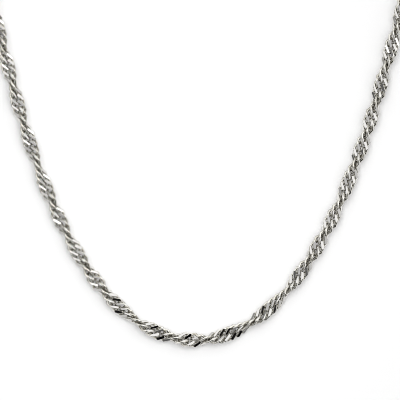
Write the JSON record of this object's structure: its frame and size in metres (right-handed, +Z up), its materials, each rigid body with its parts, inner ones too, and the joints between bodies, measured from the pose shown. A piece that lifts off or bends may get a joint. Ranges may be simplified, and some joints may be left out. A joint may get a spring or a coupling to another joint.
{
  "type": "singapore chain necklace",
  "caption": "Closed necklace of twisted, flat-cut interlocking oval links with a ring clasp, lying flat on a surface.",
  "frame": {"origin": "on the surface that the necklace lies on, at the middle of the loop's outer box", "axes": "+Y from the lowest point of the front to the clasp at the back, +X to the right seen from above, +Z up from the surface"},
  "size_m": [0.1144, 0.1804, 0.0035],
  "materials": {
    "cut_silver": "bright silver with mirror-flat cuts across each link",
    "round_silver": "polished silver"
  },
  "bodies": {
    "root": {"chain": "cut_silver", "end_link_left": "cut_silver", "end_link_right": "cut_silver", "jump_ring_left": "round_silver", "jump_ring_right": "round_silver", "clasp": "round_silver"}
  },
  "joints": []
}
